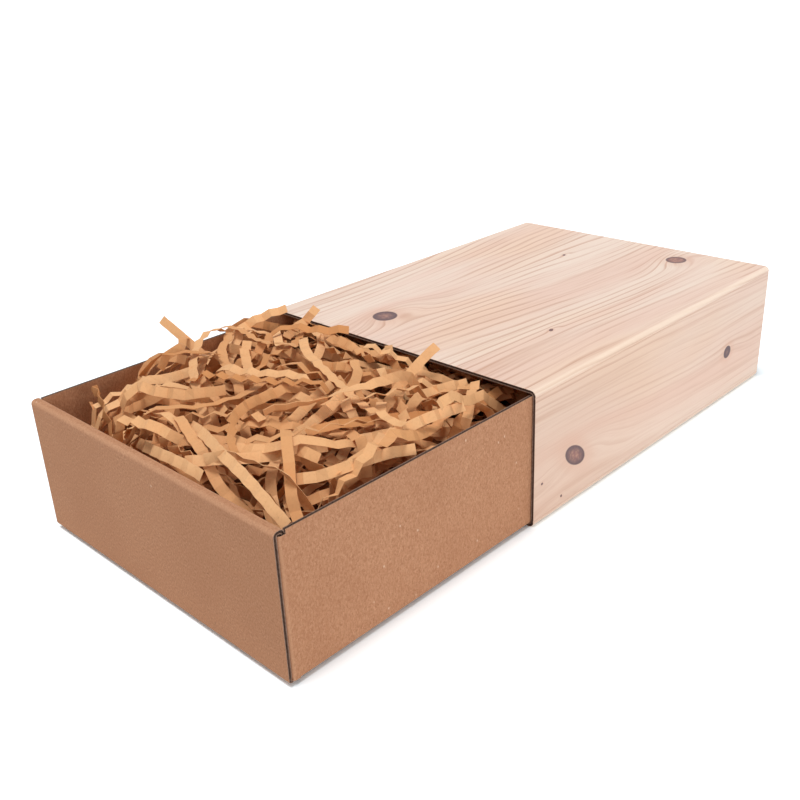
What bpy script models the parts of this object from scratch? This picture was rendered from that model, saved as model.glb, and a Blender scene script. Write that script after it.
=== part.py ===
"""Gift box: a corrugated tray that slides in a printed corrugated sleeve, on a fill of crinkled paper strips.

Metres, +Z up, +Y into the sleeve. The origin is the centre of the sleeve's underside.
The sleeve and the tray are each cut from one blank of board; every panel between two creases is an object.
"""

import math
import random

import bmesh
import bpy
from mathutils import Vector

# Sleeve, outside sizes
SLEEVE_WIDTH = 0.175
SLEEVE_LENGTH = 0.222
SLEEVE_HEIGHT = 0.068
SLEEVE_CREASE_BEND = 0.0012

# Board and paper
BOARD = 0.0015
CRUSHED_BOARD = 0.0008
FOLD_BEND = 0.0005

# Clearances
GAP = 0.0003
SIDE_CLEARANCE = 0.00035
ROOF_CLEARANCE = 0.0004
END_SETBACK = 0.0005

# Glue flap of the sleeve's seam
GLUE_FLAP_HEIGHT = 0.030
GLUE_FLAP_SETBACK = 0.006

# Tray
DRAWN_OUT = 0.143
SIDE_WALL_DROP = 0.0005
END_WALL_SETBACK = 0.0005
LOCK_TAB_WIDTH = 0.024
LOCK_TAB_SPACING = 0.092
LOCK_TAB_CHAMFER = 0.0005
CORNER_FLAP_LENGTH = 0.048
CORNER_FLAP_TAPER = 0.006

# Fill of crinkled paper
FILL_HEADROOM = 0.0008
FILL_CROWN = 0.020
FILL_SWELL = 0.002
FILL_GRID = 0.0085
STRIP_WIDTH = 0.004
STRIP_PAPER = 0.00035
STRIP_FOLD_RUN = 0.0033
STRIP_FOLD_RISE = 0.0018
STRIP_WALL_MARGIN = 0.002
STRIP_BOW = 0.003

# Sizes that follow from those above
SLEEVE_CREASE = BOARD + SLEEVE_CREASE_BEND
FOLD = BOARD + FOLD_BEND
GLUE_FLAP_X = -SLEEVE_WIDTH / 2 + BOARD + GAP
GLUE_FLAP_FOLD = CRUSHED_BOARD + FOLD_BEND
TRAY_LEFT_X = GLUE_FLAP_X + CRUSHED_BOARD + SIDE_CLEARANCE
TRAY_RIGHT_X = SLEEVE_WIDTH / 2 - BOARD - SIDE_CLEARANCE
TRAY_HALF_WIDTH = (TRAY_RIGHT_X - TRAY_LEFT_X) / 2
TRAY_HALF_LENGTH = SLEEVE_LENGTH / 2 - END_SETBACK
TRAY_FLOOR_Z = BOARD + GAP
TRAY_HEIGHT = SLEEVE_HEIGHT - BOARD - ROOF_CLEARANCE - TRAY_FLOOR_Z
TRAY_CENTRE = Vector(((TRAY_LEFT_X + TRAY_RIGHT_X) / 2, -END_SETBACK - DRAWN_OUT, TRAY_FLOOR_Z))
BAND_DEPTH = 3 * BOARD + 2 * GAP
INNER_WALL_Y = TRAY_HALF_LENGTH - BAND_DEPTH
FLAP_Y = TRAY_HALF_LENGTH - BOARD - GAP
LAYER_PITCH = STRIP_FOLD_RISE + STRIP_PAPER + GAP
FILL_HALF_WIDTH = TRAY_HALF_WIDTH - BOARD - GAP
FILL_HALF_LENGTH = INNER_WALL_Y - GAP
FILL_BOTTOM = BOARD + GAP

# Counts and proportions
FOLD_STEPS = 4
STRIPS_IN_LAYER = 12
STRIP_SEED = 7
SWELL_WAVE_SHARES = (0.9, 0.75)
# For each layer of strips: its heading, how far it spreads and its shortest and longest strips,
# all but the heading in shares of the room between the tray's walls
STRIP_HEADINGS = (math.radians(12), math.radians(101), math.radians(47))
SPREAD_SHARES = (0.86, 0.8, 0.55)
LENGTH_SHARES = ((0.93, 1.0), (0.6, 0.9), (0.5, 0.8))
SHADE_ANGLE = math.radians(35)

# Top of the fill's crown, low enough for the strips on it to stay under the tray's rim
FILL_TOP = TRAY_HEIGHT - FILL_HEADROOM - len(STRIP_HEADINGS) * LAYER_PITCH - FILL_SWELL

# Finishes: colour and roughness
PRINTED_PINE = ((0.78, 0.62, 0.47), 0.55)
KRAFT_BOARD = ((0.47, 0.25, 0.14), 0.85)
KRAFT_PAPER = ((0.76, 0.46, 0.2), 0.75)

COLLECTION_NAME = "gift_box"


def clear_scene():
    """Remove every object that the file starts with."""
    for obj in list(bpy.data.objects):
        bpy.data.objects.remove(obj)


def make_material(name, colour, roughness):
    """A paper or board finish."""
    material = bpy.data.materials.new(name)
    material.use_nodes = True
    shader = material.node_tree.nodes["Principled BSDF"]
    shader.inputs["Base Color"].default_value = (*colour, 1)
    shader.inputs["Roughness"].default_value = roughness
    shader.inputs["Metallic"].default_value = 0
    material.diffuse_color = (*colour, 1)
    return material


def add_object(name, data, material, parent):
    """Link one named object, on its parent where it has one."""
    obj = bpy.data.objects.new(name, data)
    bpy.data.collections[COLLECTION_NAME].objects.link(obj)
    data.materials.append(material)
    obj.parent = parent
    return obj


def finish_mesh(name, mesh_builder, material, parent):
    """Turn a bmesh into an object, smooth over its bends and sharp at its cut edges."""
    mesh = bpy.data.meshes.new(name)
    mesh_builder.to_mesh(mesh)
    mesh_builder.free()
    mesh.shade_smooth()
    mesh.set_sharp_from_angle(angle=SHADE_ANGLE)
    return add_object(name, mesh, material, parent)


def thicken(obj, thickness, offset=-1):
    """Give an open sheet the thickness of its board, on the side away from its face."""
    solidify = obj.modifiers.new("board", "SOLIDIFY")
    solidify.thickness = thickness
    solidify.offset = offset
    solidify.use_even_offset = True


def quarter_bend(centre, radius, first_quarter):
    """Points round a quarter turn, counter-clockwise from the given quarter (0 is towards the first axis).

    The flats between them touch the arc, so that the bend runs straight into the panels at both ends.
    """
    half_step = math.pi / 4 / FOLD_STEPS
    first_angle = first_quarter * math.pi / 2
    stops = [(first_angle, radius)]
    for step in range(FOLD_STEPS):
        stops.append((first_angle + (2 * step + 1) * half_step, radius / math.cos(half_step)))
    stops.append((first_angle + math.pi / 2, radius))
    return [(centre[0] + reach * math.cos(angle), centre[1] + reach * math.sin(angle)) for angle, reach in stops]


def mirrored(profile):
    """The same profile on the other side of the second axis, walked so that its outer face stays outside."""
    return [(-across, up) for across, up in reversed(profile)]


def place(across, up, along, sweep):
    """A profile point at one place of its sweep."""
    return Vector({"X": (along, across, up), "Y": (across, along, up), "Z": (across, up, along)}[sweep])


def sweep_profile(profile, sweep, start, end):
    """An open sheet: the profile's outer face, on the right as it is walked, drawn along an axis."""
    builder = bmesh.new()
    row = [builder.verts.new(place(across, up, start, sweep)) for across, up in profile]
    edges = [builder.edges.new(pair) for pair in zip(row, row[1:])]
    drawn = bmesh.ops.extrude_edge_only(builder, edges=edges)
    moved = [part for part in drawn["geom"] if isinstance(part, bmesh.types.BMVert)]
    bmesh.ops.translate(builder, verts=moved, vec=place(0, 0, end - start, sweep))
    builder.normal_update()
    (across, up), (next_across, next_up) = profile[:2]
    outwards = place(next_up - up, across - next_across, 0, sweep)
    if row[0].link_faces[0].normal.dot(outwards) < 0:
        bmesh.ops.reverse_faces(builder, faces=builder.faces)
    return builder


def bent_board(name, profile, sweep, start, end, material, parent=None, thickness=BOARD):
    """A panel of board, bent along its profile."""
    obj = finish_mesh(name, sweep_profile(profile, sweep, start, end), material, parent)
    thicken(obj, thickness)
    return obj


def cut_board(name, outlines, material, parent, location, upright=False):
    """A flat die-cut panel: the first outline is its edge and the others are its slots."""
    curve = bpy.data.curves.new(name, "CURVE")
    curve.dimensions = "2D"
    curve.fill_mode = "BOTH"
    curve.extrude = BOARD / 2
    for outline in outlines:
        spline = curve.splines.new("POLY")
        spline.points.add(len(outline) - 1)
        for point, (across, up) in zip(spline.points, outline):
            point.co = (across, up, 0, 1)
        spline.use_cyclic_u = True
    obj = add_object(name, curve, material, parent)
    obj.location = location
    if upright:
        obj.rotation_euler = (math.pi / 2, 0, 0)
    return obj


def rectangle(left, right, low, high):
    """Four corners, counter-clockwise."""
    return [(left, low), (right, low), (right, high), (left, high)]


def make_sleeve(printed, kraft):
    """The sleeve's four panels and the crushed flap of its seam."""
    half_width = SLEEVE_WIDTH / 2
    half_length = SLEEVE_LENGTH / 2
    shoulder = quarter_bend((half_width - SLEEVE_CREASE, SLEEVE_HEIGHT - SLEEVE_CREASE), SLEEVE_CREASE, 0)
    bent_board("sleeve_top_panel", shoulder + mirrored(shoulder), "Y", -half_length, half_length, printed)

    lower_crease = quarter_bend((half_width - SLEEVE_CREASE, SLEEVE_CREASE), SLEEVE_CREASE, 3)
    bottom = [(GLUE_FLAP_X + GLUE_FLAP_FOLD + GAP, 0)] + lower_crease
    bent_board("sleeve_bottom_panel", bottom, "Y", -half_length, half_length, printed)

    side_top = SLEEVE_HEIGHT - SLEEVE_CREASE - GAP
    right = [(half_width, SLEEVE_CREASE + GAP), (half_width, side_top)]
    bent_board("sleeve_right_panel", right, "Y", -half_length, half_length, printed)
    left = [(-half_width, side_top), (-half_width, GAP)]
    bent_board("sleeve_left_panel", left, "Y", -half_length, half_length, printed)

    flap_end = half_length - GLUE_FLAP_SETBACK
    flap_bend = quarter_bend((GLUE_FLAP_X + GLUE_FLAP_FOLD, GLUE_FLAP_FOLD), GLUE_FLAP_FOLD, 2)
    flap = [(GLUE_FLAP_X, GLUE_FLAP_HEIGHT)] + flap_bend
    bent_board("sleeve_glue_flap", flap, "Y", -flap_end, flap_end, kraft, thickness=CRUSHED_BOARD)


def make_tray_base(kraft, tray):
    """The tray's floor, with a slot at each place where a lock tab goes home."""
    half_width = TRAY_HALF_WIDTH - FOLD - GAP
    half_length = TRAY_HALF_LENGTH - FOLD - GAP
    outlines = [rectangle(-half_width, half_width, -half_length, half_length)]
    for end in (-1, 1):
        near_y = end * (INNER_WALL_Y - GAP)
        far_y = end * (INNER_WALL_Y + BOARD + GAP)
        for side in (-1, 1):
            middle = side * LOCK_TAB_SPACING / 2
            reach = LOCK_TAB_WIDTH / 2 + GAP
            outlines.append(rectangle(middle - reach, middle + reach, min(near_y, far_y), max(near_y, far_y)))
    cut_board("tray_base", outlines, kraft, tray, (0, 0, BOARD / 2))


def make_tray_side_walls(kraft, tray):
    """The long walls: a rolled lower crease, a flat wall and a raw upper edge."""
    half_length = INNER_WALL_Y - GAP
    lower_fold = quarter_bend((TRAY_HALF_WIDTH - FOLD, FOLD), FOLD, 3)
    right = lower_fold + [(TRAY_HALF_WIDTH, TRAY_HEIGHT - SIDE_WALL_DROP)]
    bent_board("tray_right_wall", right, "Y", -half_length, half_length, kraft, tray)
    bent_board("tray_left_wall", mirrored(right), "Y", -half_length, half_length, kraft, tray)


def inner_wall_outline():
    """The inner end wall, with two chamfered lock tabs that reach down through the base."""
    half_width = TRAY_HALF_WIDTH - BOARD - GAP
    low = BOARD + GAP
    high = TRAY_HEIGHT - FOLD - GAP
    tab_end = GAP
    outline = [(-half_width, low)]
    for side in (-1, 1):
        left = side * LOCK_TAB_SPACING / 2 - LOCK_TAB_WIDTH / 2
        right = left + LOCK_TAB_WIDTH
        outline += [
            (left, low),
            (left, tab_end + LOCK_TAB_CHAMFER),
            (left + LOCK_TAB_CHAMFER, tab_end),
            (right - LOCK_TAB_CHAMFER, tab_end),
            (right, tab_end + LOCK_TAB_CHAMFER),
            (right, low),
        ]
    return outline + [(half_width, low), (half_width, high), (-half_width, high)]


def make_tray_end(end_name, end, kraft, tray):
    """One double end wall: outer wall, rolled top band and inner wall. The end is 1 at the rear, -1 in front."""
    lower_fold = quarter_bend((TRAY_HALF_LENGTH - FOLD, FOLD), FOLD, 3)
    outer = lower_fold + [(TRAY_HALF_LENGTH, TRAY_HEIGHT - FOLD - GAP)]
    upper_fold_z = TRAY_HEIGHT - FOLD
    band = quarter_bend((TRAY_HALF_LENGTH - FOLD, upper_fold_z), FOLD, 0)
    band += quarter_bend((INNER_WALL_Y + FOLD, upper_fold_z), FOLD, 1)
    if end < 0:
        outer = mirrored(outer)
        band = mirrored(band)
    half_width = TRAY_HALF_WIDTH - END_WALL_SETBACK
    width = (-half_width, half_width)
    bent_board(f"tray_{end_name}_outer_wall", outer, "X", *width, kraft, tray)
    bent_board(f"tray_{end_name}_top_band", band, "X", *width, kraft, tray)
    middle_y = end * (INNER_WALL_Y + BOARD / 2)
    name = f"tray_{end_name}_inner_wall"
    cut_board(name, [inner_wall_outline()], kraft, tray, (0, middle_y, 0), upright=True)


def make_corner_flap(name, end, side, kraft, tray):
    """A flap folded in from a side wall's end, held between the outer and the inner end wall."""
    fold = quarter_bend((TRAY_HALF_WIDTH - FOLD, FLAP_Y - FOLD), FOLD, 0)
    profile = [(TRAY_HALF_WIDTH, INNER_WALL_Y)] + fold + [(TRAY_HALF_WIDTH - CORNER_FLAP_LENGTH, FLAP_Y)]
    if side < 0:
        profile = mirrored(profile)
    if end < 0:
        profile = [(across, -along) for across, along in reversed(profile)]
    low = BOARD + GAP
    high = TRAY_HEIGHT - FOLD - GAP
    builder = sweep_profile(profile, "Z", low, high)
    free_edge = side * (TRAY_HALF_WIDTH - CORNER_FLAP_LENGTH)
    tip = min(builder.verts, key=lambda vert: abs(vert.co.x - free_edge)).co.x
    for vert in builder.verts:
        if vert.co.x == tip:
            vert.co.z += CORNER_FLAP_TAPER if vert.co.z == low else 0
            vert.co.z -= CORNER_FLAP_TAPER if vert.co.z > (low + high) / 2 else 0
    obj = finish_mesh(name, builder, kraft, tray)
    thicken(obj, BOARD)


def fill_height(across, along):
    """Height of the fill over the tray's underside: a crown in the middle and a slow swell."""
    share_across = across / FILL_HALF_WIDTH
    share_along = along / FILL_HALF_LENGTH
    fall = FILL_CROWN * (1 - (1 - share_across**2) * (1 - share_along**2))
    wave_across = math.sin(math.pi * share_across * SWELL_WAVE_SHARES[0])
    wave_along = math.cos(math.pi * share_along * SWELL_WAVE_SHARES[1])
    return FILL_TOP - fall + FILL_SWELL * wave_across * wave_along


def make_fill(shred, tray):
    """The bulk of the fill: one closed body with a flat underside and a crowned top."""
    builder = bmesh.new()
    columns = round(2 * FILL_HALF_WIDTH / FILL_GRID)
    rows = round(2 * FILL_HALF_LENGTH / FILL_GRID)
    bmesh.ops.create_grid(builder, x_segments=columns, y_segments=rows, size=1)
    bmesh.ops.scale(builder, verts=builder.verts, vec=(FILL_HALF_WIDTH, FILL_HALF_LENGTH, 1))
    for vert in builder.verts:
        vert.co.z = fill_height(vert.co.x, vert.co.y)
    rim = [edge for edge in builder.edges if edge.is_boundary]
    drawn = bmesh.ops.extrude_edge_only(builder, edges=rim)
    for part in drawn["geom"]:
        if isinstance(part, bmesh.types.BMVert):
            part.co.z = FILL_BOTTOM
    bmesh.ops.holes_fill(builder, edges=[edge for edge in builder.edges if edge.is_boundary], sides=0)
    bmesh.ops.recalc_face_normals(builder, faces=builder.faces)
    finish_mesh("shred_bed", builder, shred, tray)


def reach_along(heading, aside, margin):
    """First and last place, along a heading and at a distance aside of the middle, between the tray's walls."""
    first, last = -math.inf, math.inf
    steps = (math.cos(heading), math.sin(heading))
    starts = (-aside * math.sin(heading), aside * math.cos(heading))
    for step, start, wall in zip(steps, starts, (FILL_HALF_WIDTH - margin, FILL_HALF_LENGTH - margin)):
        crossings = sorted(((-wall - start) / step, (wall - start) / step))
        first = max(first, crossings[0])
        last = min(last, crossings[1])
    return first, last


def make_strip(name, heading, aside, start, length, layer, shred, tray):
    """One crinkled strip: a ribbon folded to and fro along its heading, lying on the layer under it."""
    folds = round(length / STRIP_FOLD_RUN)
    builder = bmesh.new()
    bmesh.ops.create_grid(builder, x_segments=folds, y_segments=1, size=1)
    for vert in builder.verts:
        fold = round((vert.co.x + 1) / 2 * folds)
        ahead = start + fold / folds * length
        bow = STRIP_BOW * math.sin(2 * math.pi * ahead / (FILL_HALF_WIDTH + FILL_HALF_LENGTH))
        sideways = aside + bow + vert.co.y * STRIP_WIDTH / 2
        across = ahead * math.cos(heading) - sideways * math.sin(heading)
        along = ahead * math.sin(heading) + sideways * math.cos(heading)
        rise = STRIP_FOLD_RISE if fold % 2 else 0
        vert.co = (across, along, fill_height(across, along) + GAP + layer * LAYER_PITCH + rise)
    builder.normal_update()
    builder.faces.ensure_lookup_table()
    if builder.faces[0].normal.z < 0:
        bmesh.ops.reverse_faces(builder, faces=builder.faces)
    mesh = bpy.data.meshes.new(name)
    builder.to_mesh(mesh)
    builder.free()
    thicken(add_object(name, mesh, shred, tray), STRIP_PAPER, offset=1)


def make_strips(shred, tray):
    """Layers of crinkled strips: those of one layer run side by side, and each layer crosses the one below."""
    chance = random.Random(STRIP_SEED)
    margin = STRIP_WIDTH / 2 + STRIP_BOW + STRIP_WALL_MARGIN
    number = 0
    for layer, heading in enumerate(STRIP_HEADINGS):
        room_aside = abs(math.sin(heading)) * FILL_HALF_WIDTH + abs(math.cos(heading)) * FILL_HALF_LENGTH
        for place_in_layer in range(STRIPS_IN_LAYER):
            number += 1
            spread_share = (2 * place_in_layer / (STRIPS_IN_LAYER - 1) - 1) * SPREAD_SHARES[layer]
            aside = spread_share * room_aside
            first, last = reach_along(heading, aside, margin)
            length = chance.uniform(*LENGTH_SHARES[layer]) * (last - first)
            start = first + chance.random() * (last - first - length)
            make_strip(f"shred_strip_{number:02d}", heading, aside, start, length, layer, shred, tray)


def make_tray(kraft, shred):
    """The tray and its fill, on an empty that lies on the line of the slide."""
    tray = bpy.data.objects.new("tray_slide_axis", None)
    bpy.data.collections[COLLECTION_NAME].objects.link(tray)
    tray.location = TRAY_CENTRE
    make_tray_base(kraft, tray)
    make_tray_side_walls(kraft, tray)
    for end_name, end in (("front", -1), ("rear", 1)):
        make_tray_end(end_name, end, kraft, tray)
        for side_name, side in (("left", -1), ("right", 1)):
            make_corner_flap(f"tray_{end_name}_{side_name}_corner_flap", end, side, kraft, tray)
    make_fill(shred, tray)
    make_strips(shred, tray)


def main():
    """Build the whole box."""
    clear_scene()
    collection = bpy.data.collections.new(COLLECTION_NAME)
    bpy.context.scene.collection.children.link(collection)
    printed = make_material("printed_pine_board", *PRINTED_PINE)
    kraft = make_material("kraft_board", *KRAFT_BOARD)
    shred = make_material("crinkled_kraft_paper", *KRAFT_PAPER)
    make_sleeve(printed, kraft)
    make_tray(kraft, shred)


main()
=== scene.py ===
"""Looks of the gift box: a printed corrugated sleeve, a kraft tray drawn out of it and a crinkled paper fill.

Everything is in metres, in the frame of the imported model, which is loaded first and never changed.
"""

from __future__ import annotations

import logging
import math
from collections.abc import Iterable, Sequence
from dataclasses import dataclass, field
from enum import Enum

import bmesh
import bpy
import numpy as np
from mathutils import Matrix, Vector

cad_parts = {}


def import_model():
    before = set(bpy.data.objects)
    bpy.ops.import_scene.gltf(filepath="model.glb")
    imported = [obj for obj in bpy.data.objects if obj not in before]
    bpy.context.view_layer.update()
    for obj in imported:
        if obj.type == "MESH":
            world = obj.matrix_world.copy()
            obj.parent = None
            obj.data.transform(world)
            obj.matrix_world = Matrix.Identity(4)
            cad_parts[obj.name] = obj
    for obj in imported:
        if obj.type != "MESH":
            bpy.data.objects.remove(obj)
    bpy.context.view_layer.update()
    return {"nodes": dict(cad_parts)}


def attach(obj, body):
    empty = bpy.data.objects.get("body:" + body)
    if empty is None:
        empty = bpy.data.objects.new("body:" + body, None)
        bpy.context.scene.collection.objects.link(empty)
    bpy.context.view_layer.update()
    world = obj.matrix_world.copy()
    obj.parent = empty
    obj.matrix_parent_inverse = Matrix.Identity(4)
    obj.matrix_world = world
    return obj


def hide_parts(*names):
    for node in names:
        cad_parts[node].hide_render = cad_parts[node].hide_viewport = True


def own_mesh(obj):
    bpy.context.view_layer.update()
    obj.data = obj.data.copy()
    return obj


LOG = logging.getLogger("gift_box")
PRINT_MAP = "print"
WEAR_AND_SHADING = "wear_and_shading"
TINT = "tint"
SAME_PLACE = 1e-6

Triple = tuple[float, float, float]
Colour = Triple
Point2 = tuple[float, float]
Levels = tuple[float, float, float, float]
Socket = bpy.types.NodeSocket


class Slot(Enum):
    """The record's material slots."""

    PINE = "printed_pine_board"
    KRAFT = "kraft_board"
    SHRED = "crinkled_kraft_paper"


class Body(Enum):
    """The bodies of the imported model."""

    SLEEVE = "sleeve"
    TRAY = "tray"


class Side(Enum):
    """The side of a board that a liner shows on."""

    OUTER = "outer"
    INNER = "inner"


class Flutes(Enum):
    """How the corrugated medium runs in a board."""

    ROUND_SECTION = "round the section"
    ALONG_SWEEP = "along the sweep"


class Sweep(Enum):
    """The axis along which a board's section is drawn out."""

    X = "X"
    Y = "Y"
    Z = "Z"

    def place(self, across: float, up: float, along: float) -> Vector:
        """A section point at one place of the sweep."""
        if self is Sweep.X:
            return Vector((along, across, up))
        if self is Sweep.Y:
            return Vector((across, along, up))
        return Vector((across, up, along))


@dataclass(frozen=True)
class BoxSizes:
    """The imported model's sizes, in metres."""

    sleeve_width: float = 0.175
    sleeve_length: float = 0.222
    sleeve_height: float = 0.068
    sleeve_crease: float = 0.0027
    board: float = 0.0015
    crushed_board: float = 0.0008
    fold: float = 0.002
    gap: float = 0.0003
    side_clearance: float = 0.00035
    roof_clearance: float = 0.0004
    end_setback: float = 0.0005
    glue_flap_height: float = 0.030
    glue_flap_fold: float = 0.0013
    drawn_out: float = 0.143
    side_wall_drop: float = 0.0005
    end_wall_setback: float = 0.0005
    corner_flap_length: float = 0.048

    @property
    def glue_flap_x(self) -> float:
        """The outer face of the sleeve's glue flap."""
        return -self.sleeve_width / 2 + self.board + self.gap

    @property
    def tray_left(self) -> float:
        """The tray's left face."""
        return self.glue_flap_x + self.crushed_board + self.side_clearance

    @property
    def tray_right(self) -> float:
        """The tray's right face."""
        return self.sleeve_width / 2 - self.board - self.side_clearance

    @property
    def tray_centre(self) -> Vector:
        """The middle of the tray's underside."""
        across = (self.tray_left + self.tray_right) / 2
        return Vector((across, -self.end_setback - self.drawn_out, self.tray_bottom))

    @property
    def tray_half_width(self) -> float:
        """Half the tray's width."""
        return (self.tray_right - self.tray_left) / 2

    @property
    def tray_half_length(self) -> float:
        """Half the tray's length."""
        return self.sleeve_length / 2 - self.end_setback

    @property
    def tray_bottom(self) -> float:
        """The tray's underside."""
        return self.board + self.gap

    @property
    def tray_height(self) -> float:
        """The height of the tray's end walls."""
        return self.sleeve_height - self.board - self.roof_clearance - self.tray_bottom

    @property
    def inner_wall(self) -> float:
        """How far the inner end walls' inner face is from the tray's middle."""
        return self.tray_half_length - 3 * self.board - 2 * self.gap


SIZES = BoxSizes()


class NodeSketch:
    """Short calls that build one node graph."""

    def __init__(self, tree: bpy.types.NodeTree) -> None:
        """Start on a graph.

        Args:
            tree: The material's or the world's graph.
        """
        self.nodes = tree.nodes
        self.links = tree.links

    def feed(self, socket: Socket, value: object) -> None:
        """Link a socket to another node's output, or set its value."""
        if isinstance(value, bpy.types.NodeSocket):
            self.links.new(value, socket)
        else:
            socket.default_value = value

    def add(
        self, kind: str, feeds: dict[str | int, object] | None = None, **settings: object
    ) -> bpy.types.Node:
        """Add a node.

        Args:
            kind: The node's type.
            feeds: What goes into its inputs, by name or number.
            **settings: The node's own properties.

        Returns:
            The node.
        """
        node = self.nodes.new(kind)
        for key, value in settings.items():
            setattr(node, key, value)
        for key, value in (feeds or {}).items():
            self.feed(node.inputs[key], value)
        return node

    def object_place(self) -> Socket:
        """Coordinates fixed to the piece, in metres."""
        return self.add("ShaderNodeTexCoord").outputs["Object"]

    def uv_place(self, name: str) -> Socket:
        """Coordinates of a named UV map."""
        return self.add("ShaderNodeUVMap", uv_map=name).outputs["UV"]

    def attribute(self, name: str) -> Socket:
        """A number stored on the mesh."""
        return self.add("ShaderNodeAttribute", attribute_name=name).outputs["Fac"]

    def maths(self, operation: str, first: object, second: object = 0.0) -> Socket:
        """One step of arithmetic."""
        return self.add("ShaderNodeMath", {0: first, 1: second}, operation=operation).outputs[0]

    def scaled(self, vector: object, scale: Sequence[float]) -> Socket:
        """Coordinates scaled along each axis."""
        return self.add("ShaderNodeMapping", {"Vector": vector, "Scale": scale}).outputs["Vector"]

    def local(self, vector: object, centre: Sequence[float], size: Sequence[float], turn: float) -> Socket:
        """Coordinates about a centre, turned, with 1 at that size."""
        feeds = {"Vector": vector, "Location": centre, "Rotation": (0, 0, turn), "Scale": size}
        return self.add("ShaderNodeMapping", feeds, vector_type="TEXTURE").outputs["Vector"]

    def length(self, vector: object) -> Socket:
        """A vector's length."""
        return self.add("ShaderNodeVectorMath", {0: vector}, operation="LENGTH").outputs["Value"]

    def noise(self, vector: object, scale: float, detail: float = 2.0, roughness: float = 0.5) -> Socket:
        """Cloudy noise from 0 to 1."""
        feeds = {"Vector": vector, "Scale": scale, "Detail": detail, "Roughness": roughness}
        return self.add("ShaderNodeTexNoise", feeds).outputs["Fac"]

    def specks(self, vector: object, scale: float, share: float, radius: float) -> Socket:
        """Scattered specks: 1 on a speck, in a share of the cells of a random pattern."""
        cells = self.add("ShaderNodeTexVoronoi", {"Vector": vector, "Scale": scale})
        lot = self.add("ShaderNodeSeparateColor", {0: cells.outputs["Color"]}).outputs[0]
        chosen = self.maths("LESS_THAN", lot, share)
        near = self.step(cells.outputs["Distance"], radius, radius * 0.5)
        return self.maths("MULTIPLY", chosen, near)

    def step(
        self, value: object, low: float, high: float, to_low: float = 0.0, to_high: float = 1.0
    ) -> Socket:
        """A smooth step from one level to another."""
        feeds = {"Value": value, "From Min": low, "From Max": high, "To Min": to_low, "To Max": to_high}
        return self.add("ShaderNodeMapRange", feeds, interpolation_type="SMOOTHSTEP").outputs["Result"]

    def mix(self, factor: object, first: object, second: object, blend: str = "MIX") -> Socket:
        """Two colours mixed."""
        node = self.add("ShaderNodeMix", data_type="RGBA", blend_type=blend)
        for socket, value in zip((node.inputs[0], node.inputs[6], node.inputs[7]), (factor, first, second)):
            self.feed(socket, (*value, 1.0) if isinstance(value, tuple) else value)
        return node.outputs[2]

    def layered(self, colour: Socket, layers: Iterable[tuple[Socket, object]]) -> Socket:
        """A colour with others over it, each by its own share."""
        for share, tone in layers:
            colour = self.mix(share, colour, tone)
        return colour

    def bump(self, height: object, distance: float, normal: Socket | None = None) -> Socket:
        """A surface normal with relief of that height, in metres."""
        node = self.add("ShaderNodeBump", {"Height": height, "Distance": distance})
        if normal is not None:
            self.feed(node.inputs["Normal"], normal)
        return node.outputs["Normal"]

    def seen(self) -> Socket:
        """1 for rays from the camera, a mirror or a glass, and 0 for the rest."""
        path = self.add("ShaderNodeLightPath").outputs
        direct = self.maths("MAXIMUM", path["Is Camera Ray"], path["Is Glossy Ray"])
        return self.maths("MAXIMUM", direct, path["Is Transmission Ray"])


class MaterialSketch(NodeSketch):
    """The node graph of one material."""

    def __init__(self, name: str) -> None:
        """Start a material with its shader.

        Args:
            name: The material's name.
        """
        self.material = bpy.data.materials.new(name)
        self.material.use_nodes = True
        super().__init__(self.material.node_tree)
        self.shader = self.nodes["Principled BSDF"]

    def finish(
        self, colour: object, roughness: object, normal: Socket | None = None, sheen: float = 0.5
    ) -> bpy.types.Material:
        """Feed the shader.

        Args:
            colour: The base colour.
            roughness: The roughness, or a socket that gives it.
            normal: A normal with the relief, where there is one.
            sheen: The level of its plain reflection.

        Returns:
            The material.
        """
        self.feed(self.shader.inputs["Base Color"], (*colour, 1.0) if isinstance(colour, tuple) else colour)
        self.feed(self.shader.inputs["Roughness"], roughness)
        self.feed(self.shader.inputs["Specular IOR Level"], sheen)
        if normal is not None:
            self.feed(self.shader.inputs["Normal"], normal)
        return self.material


@dataclass(frozen=True)
class Knot:
    """A knot in the pine print.

    Attributes:
        across: Its place round the sleeve from the middle of the top, in metres.
        along: Its place along the sleeve, in metres.
        wide: Half its size across its own axis.
        tall: Half its size along its own axis.
        turn: The turn of its axis, in radians.
        dark: How solid it is, from a pale eye at 0 to a dead black knot at 1.
        swirl: How far the grain swings round it, in metres.
    """

    across: float
    along: float
    wide: float
    tall: float
    turn: float = 0.0
    dark: float = 0.3
    swirl: float = 0.012


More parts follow.
